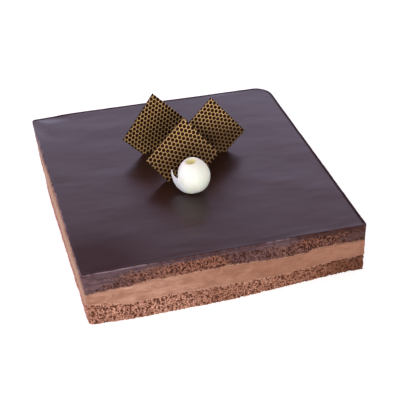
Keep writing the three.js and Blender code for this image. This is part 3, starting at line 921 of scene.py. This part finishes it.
def printed_material():
    """Dark chocolate with a gold honeycomb print on its face."""
    n = new_material("printed_chocolate")
    place = n.node("ShaderNodeUVMap", {"uv_map": "print"}).outputs["UV"]
    half = (0.5, math.sqrt(3) / 2)  # half a cell of the honeycomb, which holds two dots
    distances = []
    for start in ((0, 0, 0), (*half, 0)):
        moved = n.vector("SUBTRACT", place, start)
        within = n.vector("WRAP", moved, (*half, 1), (-half[0], -half[1], -1))
        distances.append(n.vector("LENGTH", within, output="Value"))
    distance = n.math("MINIMUM", *distances)
    ragged = n.ramp(n.noise(0.9, 2), 0.2, 0.8, -0.03, 0.03)
    net = n.ramp(n.math("ADD", distance, ragged), DOT_RADIUS - 0.025, DOT_RADIUS + 0.025)
    gold_share = n.math("MULTIPLY", net, n.attribute("face"))
    gold = n.mix(n.ramp(n.noise(1.2), 0.3, 0.7), GOLD_DARK, GOLD_PALE)
    # painted shade low on the print
    gold = n.mix(n.attribute("print_shade"), gold, GOLD_SHADE)
    dark = n.mix(n.ramp(n.noise(2.5), 0.3, 0.7), CHOCOLATE_DARK, CHOCOLATE_PALE)
    n.set(Base_Color=n.mix(gold_share, dark, gold), Roughness=0.5, Specular_IOR_Level=0.05)
    n.set(Metallic=n.math("MULTIPLY", gold_share, 0.25))
    n.set(Normal=n.bump(gold_share, 0.06, 0.6, n.bump(n.noise(3), 0.08)))
    return n.material


def edge_line(side):
    """Places across a square from edge to edge, closer together along its rounded edges."""
    near = EDGE_ROUND * 0.3
    inner = np.linspace(EDGE_ROUND, side - EDGE_ROUND, SQUARE_CELLS)
    return np.concatenate([[0, near], inner, [side - near, side]])


def printed_square(name, spec, material):
    """A thin square with rounded edges and a slight bow; its print lies on the front face."""
    (width, length), top, azimuth, lean_back, turn, rows_down_left, phase, print_shade_amount = spec
    u, v = np.meshgrid(edge_line(width), edge_line(length))
    border = np.minimum(np.minimum(u, width - u), np.minimum(v, length - v))
    drop = EDGE_ROUND * (1 - np.sqrt(np.clip(1 - (1 - np.minimum(border / EDGE_ROUND, 1)) ** 2, 0, 1)))
    bow = SQUARE_BOW * np.sin(np.pi * u / width) * np.sin(np.pi * v / length)
    front = np.stack([u, v - length, -drop - bow], axis=-1)
    back = np.stack([u, v - length, drop - bow - SQUARE_THICKNESS + SQUARE_BOW], axis=-1)
    points, faces = grid_body(front, back)
    standing = turned(points, square_matrix(top, azimuth, lean_back, turn))
    looks = {
        "face": np.concatenate([(border > PRINT_MARGIN).ravel(), np.zeros(u.size)]),
        # painted shade, stronger lower down
        "print_shade": print_shade_amount * smoothstep(PRINT_SHADE_TOP, PRINT_SHADE_FOOT, standing[:, 2]),
    }
    obj = mesh_object(name, placed(standing), faces, material, looks)
    across = points[:, 0] / DOT_PITCH
    down = -points[:, 1] / DOT_PITCH
    rows = (down, across) if rows_down_left else (across, down)
    places = np.stack(rows, axis=1) - phase
    layer = obj.data.uv_layers.new(name="print")
    corners = np.empty(len(obj.data.loops), int)
    obj.data.loops.foreach_get("vertex_index", corners)
    layer.data.foreach_set("uv", places[corners].ravel().astype(np.float32))
    return obj


# ---- the white chocolate curl ----
CURL_SIDES = 96
CURL_RINGS = 64
HOLE_RINGS = 24
FLAP_COLUMNS = 60
FLAP_ROWS = 24
CURL_VOXEL = 0.3
WHITE = (0.80, 0.83, 0.755)
CREAM = (0.79, 0.78, 0.65)
# painted warm shading inside the hole
HOLE_WARM_SHADING = (0.93, 0.90, 0.57)


def white_chocolate_material():
    """White chocolate, shaved: soft inside, with fine scrape lines round the roll and painted warm
    shading in its hole.
    """
    n = new_material("white_chocolate")
    scrape = n.noise(0.9, 4, 0.6, stretch=(7, 7, 1), distort=0.2)
    colour = n.mix(n.ramp(n.noise(6), 0.42, 0.75, 0, 0.5), WHITE, CREAM)
    # painted warm shading inside the hole
    colour = n.mix(n.attribute("inside"), colour, HOLE_WARM_SHADING)
    relief = n.bump(n.noise(3.5, 2), 0.4, 0.3, n.bump(scrape, 0.18))
    n.set(Base_Color=colour, Roughness=0.42, Normal=relief)
    n.set(Subsurface_Weight=0.7, Subsurface_Radius=(1.0, 0.85, 0.6), Subsurface_Scale=6 * MM)
    return n.material


def hole_radius(height):
    """The hole's radius at a height in the roll's own frame."""
    depth = np.clip((MOUTH_HEIGHT - height) / HOLE_DEPTH, 0, 1)
    return CURL_MOUTH + (HOLE_END - CURL_MOUTH) * depth


def curl_roll():
    """The roll: egg-shaped outside, with a blind hole whose rolled edge steps in once a turn."""
    latitude = np.linspace(-math.pi / 2 + 1e-3, MOUTH_LATITUDE, CURL_RINGS)
    radius = CURL_RADIUS * np.cos(latitude) * (1 - CURL_TAPER * np.maximum(np.sin(latitude), 0))
    height = CURL_HALF_HEIGHT * np.sin(latitude)
    angle = np.linspace(0, 2 * math.pi, CURL_SIDES, endpoint=False)
    turn = np.linspace(0, 1, CURL_SIDES, endpoint=False)
    hole_end = MOUTH_HEIGHT - HOLE_DEPTH

    def ring(r, z):
        middle = -CURL_LEAN * max(z, 0)
        return np.stack([middle + r * np.cos(angle), r * np.sin(angle), 0 * angle + z], axis=-1)

    rows = [ring(r, z) for r, z in zip(radius, height)]
    for z in np.linspace(MOUTH_HEIGHT - 0.4, hole_end, HOLE_RINGS):
        rows.append(ring(hole_radius(z) - HOLE_LEDGE * turn, z))
    low_end = (0, 0, height[0])
    return closed_body(np.stack(rows), low_end, (-CURL_LEAN * max(hole_end, 0), 0, hole_end))


def flap_surface(degrees, latitudes, stand_off):
    across = (CURL_RADIUS + stand_off) * np.cos(latitudes)
    up = (CURL_HALF_HEIGHT + stand_off) * np.sin(latitudes)
    angle = np.radians(degrees)
    return np.stack([-across * np.sin(angle), -across * np.cos(angle), up], axis=-1)


def curl_flap():
    """The loose end, peeling off to the left and narrowing to a point."""
    degrees = np.linspace(FLAP_ANGLE[0], FLAP_ANGLE[-1], FLAP_COLUMNS)[:, None]
    share = np.linspace(0, 1, FLAP_ROWS)[None]

    def across(lower, upper):
        start = between(FLAP_ANGLE, lower, degrees)
        return start + (between(FLAP_ANGLE, upper, degrees) - start) * share

    latitudes = np.radians(across(FLAP_LOWER, FLAP_UPPER))
    stand_off = across(FLAP_LOWER_OFF, FLAP_UPPER_OFF)
    progress = np.linspace(0, 1, FLAP_COLUMNS)[:, None]
    wall = FLAP_WALL + (FLAP_TIP_WALL - FLAP_WALL) * progress
    spread = degrees + 0 * share
    outside = flap_surface(spread, latitudes, stand_off)
    inside = flap_surface(spread, latitudes, stand_off - wall)
    return grid_body(outside[::-1], inside[::-1])


def join_softly(obj):
    """A fine remesh that joins the parts of an object into one soft body."""
    remesh = obj.modifiers.new("join", "REMESH")
    remesh.mode = "VOXEL"
    remesh.voxel_size = CURL_VOXEL
    smooth = obj.modifiers.new("soften", "SMOOTH")
    smooth.factor = 0.5
    smooth.iterations = 3
    graph = bpy.context.evaluated_depsgraph_get()
    made = bpy.data.meshes.new_from_object(obj.evaluated_get(graph))
    made.name = obj.name
    obj.modifiers.clear()
    obj.data = made
    shade_smooth(made)


def hole_share(points):
    """Where the painted warm shading lies: 1 inside the hole, fading out at its mouth and within its
    wall.
    """
    from_axis = np.hypot(points[:, 0] + CURL_LEAN * np.maximum(points[:, 2], 0), points[:, 1])
    within = 1 - smoothstep(0.2, 0.7, from_axis - hole_radius(points[:, 2]))
    above_end = points[:, 2] > MOUTH_HEIGHT - HOLE_DEPTH - 0.6
    return within * smoothstep(0.2, 3, MOUTH_HEIGHT - points[:, 2]) * above_end


def white_curl(name):
    """The roll and its loose end, joined in the roll's own frame and then set on the cake."""
    roll_points, roll_faces = curl_roll()
    flap_points, flap_faces = curl_flap()
    points = np.concatenate([roll_points, flap_points])
    faces = roll_faces + [[k + len(roll_points) for k in face] for face in flap_faces]
    obj = mesh_object(name, points, faces, white_chocolate_material(), {})
    join_softly(obj)
    joined = np.empty(len(obj.data.vertices) * 3)
    obj.data.vertices.foreach_get("co", joined)
    joined = joined.reshape(-1, 3)
    matrix = Matrix.Translation(CURL_CENTRE)
    matrix @= Matrix.Rotation(math.radians(-CURL_TURN), 4, "Z")
    matrix @= Matrix.Rotation(math.radians(-CURL_TILT), 4, "Y")
    obj.data.vertices.foreach_set("co", placed(turned(joined, matrix)).ravel())
    write_values(obj.data, {"inside": hole_share(joined)})
    obj.data.update()
    return obj


# ---- the room, in metres ----
FLOOR_REACH = 6.0  # each way from the cake
FLOOR_GREY = (0.55, 0.55, 0.55, 1)
FLOOR_GLOW = 0.7
CAMERA_CLIP = 50

# The studio's light by the sine of the height above the horizon. Behind and to the left of the
# cake a cool bright backdrop ends in a dark ceiling; in front the room is dimmer and neutral.
BACKDROP = (
    (0.0, (1.68, 1.64, 2.08)),
    (0.42, (1.58, 1.48, 2.1)),
    (0.56, (1.46, 1.28, 1.76)),
    (0.60, (1.3, 1.0, 1.31)),
    (0.635, (0.72, 0.39, 0.49)),
    (0.67, (0.5, 0.25, 0.295)),
)
FRONT_ROOM = (
    (0.0, (1.0, 0.98, 0.96)),
    (0.3, (0.95, 0.93, 0.91)),
    (0.5, (0.65, 0.63, 0.63)),
    (0.7, (0.45, 0.43, 0.43)),
)
BACKDROP_WAY = (-0.5, 0.86, 0)  # the middle of the backdrop, seen from the cake
SKY_STRENGTH = 2.2
# Square softboxes: name, place, what it faces, side, power in watts and colour.
LAMPS = (
    ("key", (-0.95, -0.6, 0.42), (0, 0, 0.03), 0.9, 2.8, (1, 0.98, 0.94)),
    ("front", (-0.3, -1.1, 0.12), (0, 0, 0.05), 0.4, 6.25, (1, 0.97, 0.93)),
    ("overhead", (0.1, -0.1, 1.3), (0, 0, 0), 0.8, 1.2, (1, 1, 1)),
)


def floor():
    n = new_material("floor")
    n.set(Base_Color=FLOOR_GREY, Roughness=0.9)
    n.set(Emission_Color=(1, 1, 1, 1), Emission_Strength=FLOOR_GLOW)
    corners = [(x * FLOOR_REACH, y * FLOOR_REACH, 0) for x, y in ((-1, -1), (1, -1), (1, 1), (-1, 1))]
    mesh_object("floor", corners, [(0, 1, 2, 3)], n.material, {})


def sky():
    """A soft studio: the two halves of the room blend into each other at the sides."""
    world = bpy.data.worlds.new("studio")
    bpy.context.scene.world = world
    n = Nodes(world, "Background")
    where = n.node("ShaderNodeTexCoord").outputs["Generated"]
    height = n.node("ShaderNodeSeparateXYZ", Vector=where).outputs["Z"]

    def half(stops):
        made = n.node("ShaderNodeValToRGB", Fac=height)
        elements = made.color_ramp.elements
        while len(elements) < len(stops):
            elements.new(1.0)
        for element, (position, colour) in zip(elements, stops):
            element.position = position
            element.color = (*[c / SKY_STRENGTH for c in colour], 1)
        return made.outputs["Color"]

    facing = n.vector("DOT_PRODUCT", where, BACKDROP_WAY, output="Value")
    share = n.node("ShaderNodeMapRange", Value=facing, From_Min=-0.25, From_Max=0.3)
    n.set(Color=n.mix(share.outputs["Result"], half(FRONT_ROOM), half(BACKDROP)))
    n.set(Strength=SKY_STRENGTH)


def lamp(name, place, aim, size, power, colour):
    light = bpy.data.lights.new(name, "AREA")
    light.shape = "SQUARE"
    light.size = size
    light.energy = power
    light.color = colour
    obj = new_object(name, light)
    obj.location = place
    obj.rotation_euler = (Vector(aim) - Vector(place)).to_track_quat("-Z", "Y").to_euler()


def camera():
    data = bpy.data.cameras.new("camera")
    data.sensor_width = SENSOR
    data.lens = CAMERA_FOCAL / PICTURE_WIDTH * SENSOR
    data.clip_end = CAMERA_CLIP
    obj = new_object("camera", data)
    axes = Matrix((CAMERA_RIGHT, [-d for d in CAMERA_DOWN], [-f for f in CAMERA_FORWARD])).transposed()
    obj.matrix_world = Matrix.Translation(placed(CAMERA_EYE)) @ axes.to_4x4()
    bpy.context.scene.camera = obj


# ---- the whole cake ----
def cake():
    """Every piece with the node that it replaces and its material slot."""
    stations = plan_stations(STATION_STEP)
    lower, middle, upper = [seam_height(stations, layer) for layer in SEAMS]
    pieces = [
        (lower_sponge(stations, 0 * lower, lower), "lower_sponge", "sponge"),
        (mousse_layer(stations, lower, middle), "mousse", "mousse"),
        (upper_sponge(stations, middle, upper), "upper_sponge", "sponge"),
        (glaze_coat(plan_stations(GLAZE_STEP)), "glaze", "glaze"),
    ]
    printed = printed_material()
    for place, spec in SQUARES.items():
        obj = printed_square(f"printed_square_{place}", spec, printed)
        pieces.append((obj, f"chocolate_square_{place}", "printed_chocolate"))
    pieces.append((white_curl("white_chocolate_curl"), "white_curl", "white_chocolate"))
    return pieces


for obj, node, slot in cake():
    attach(obj, "root")
    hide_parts(node)
floor()
sky()
for spec in LAMPS:
    lamp(*spec)
camera()
bpy.context.scene.view_settings.view_transform = "Standard"
